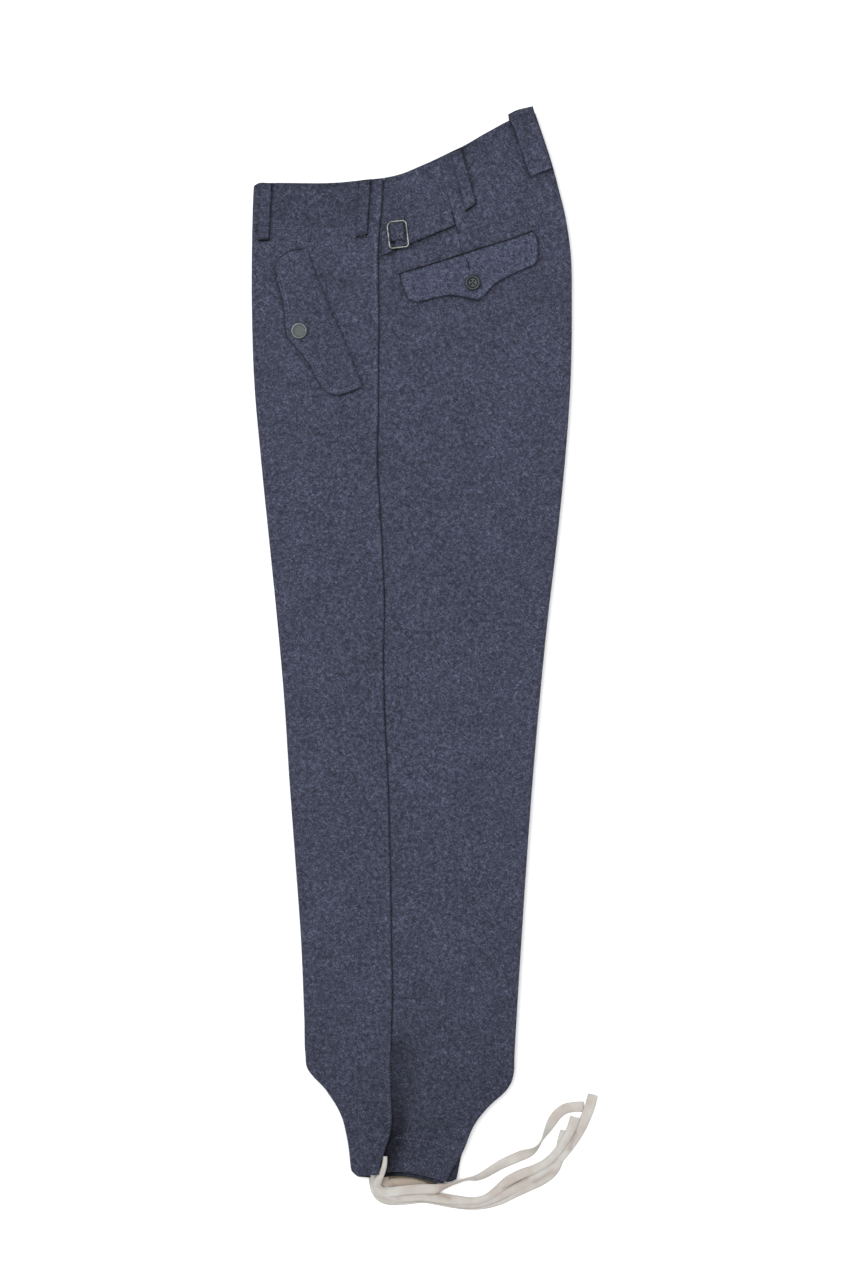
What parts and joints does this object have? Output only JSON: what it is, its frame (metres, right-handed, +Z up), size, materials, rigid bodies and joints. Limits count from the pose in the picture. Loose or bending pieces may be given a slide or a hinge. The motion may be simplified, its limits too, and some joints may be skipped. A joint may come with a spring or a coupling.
{
  "type": "folded wool military trousers",
  "caption": "Heavy wool service trousers folded along their creases and laid flat, with pocket flaps, belt loops, a back cinch and tie tapes at the ankle",
  "frame": {"origin": "bottom centre of the folded cloth's box, on the surface that the trousers lie on", "axes": "+X from the front crease to the centre-back fold, +Y from the hem to the waist, +Z up from the surface"},
  "size_m": [0.3637, 1.1589, 0.0216],
  "materials": {
    "wool_melton": "fulled blue-grey wool cloth with a short nap",
    "cotton_tape": "plain woven off-white cotton tape",
    "cotton_lining": "plain woven beige cotton lining",
    "steel_wire": "drawn steel wire, dull bright",
    "painted_button_metal": "pressed metal painted grey-green, low gloss",
    "button_plastic": "moulded four-hole button, dark grey-green, soft gloss"
  },
  "bodies": {
    "root": {"front_panel": "wool_melton", "back_panel": "wool_melton", "under_layers": "wool_melton", "hem_band": "wool_melton", "leg_opening_lining": "cotton_lining", "front_pocket_flap": "wool_melton", "back_pocket_flap": "wool_melton", "loop_front": "wool_melton", "loop_side": "wool_melton", "loop_back": "wool_melton", "loop_centre_back": "wool_melton", "cinch_strap": "wool_melton", "cinch_tab": "wool_melton", "buckle": "steel_wire", "front_pocket_button": "painted_button_metal", "back_pocket_button": "button_plastic", "tie_tape_a": "cotton_tape", "tie_tape_b": "cotton_tape", "tie_tape_c": "cotton_tape", "tie_tape_d": "cotton_tape"}
  },
  "joints": []
}
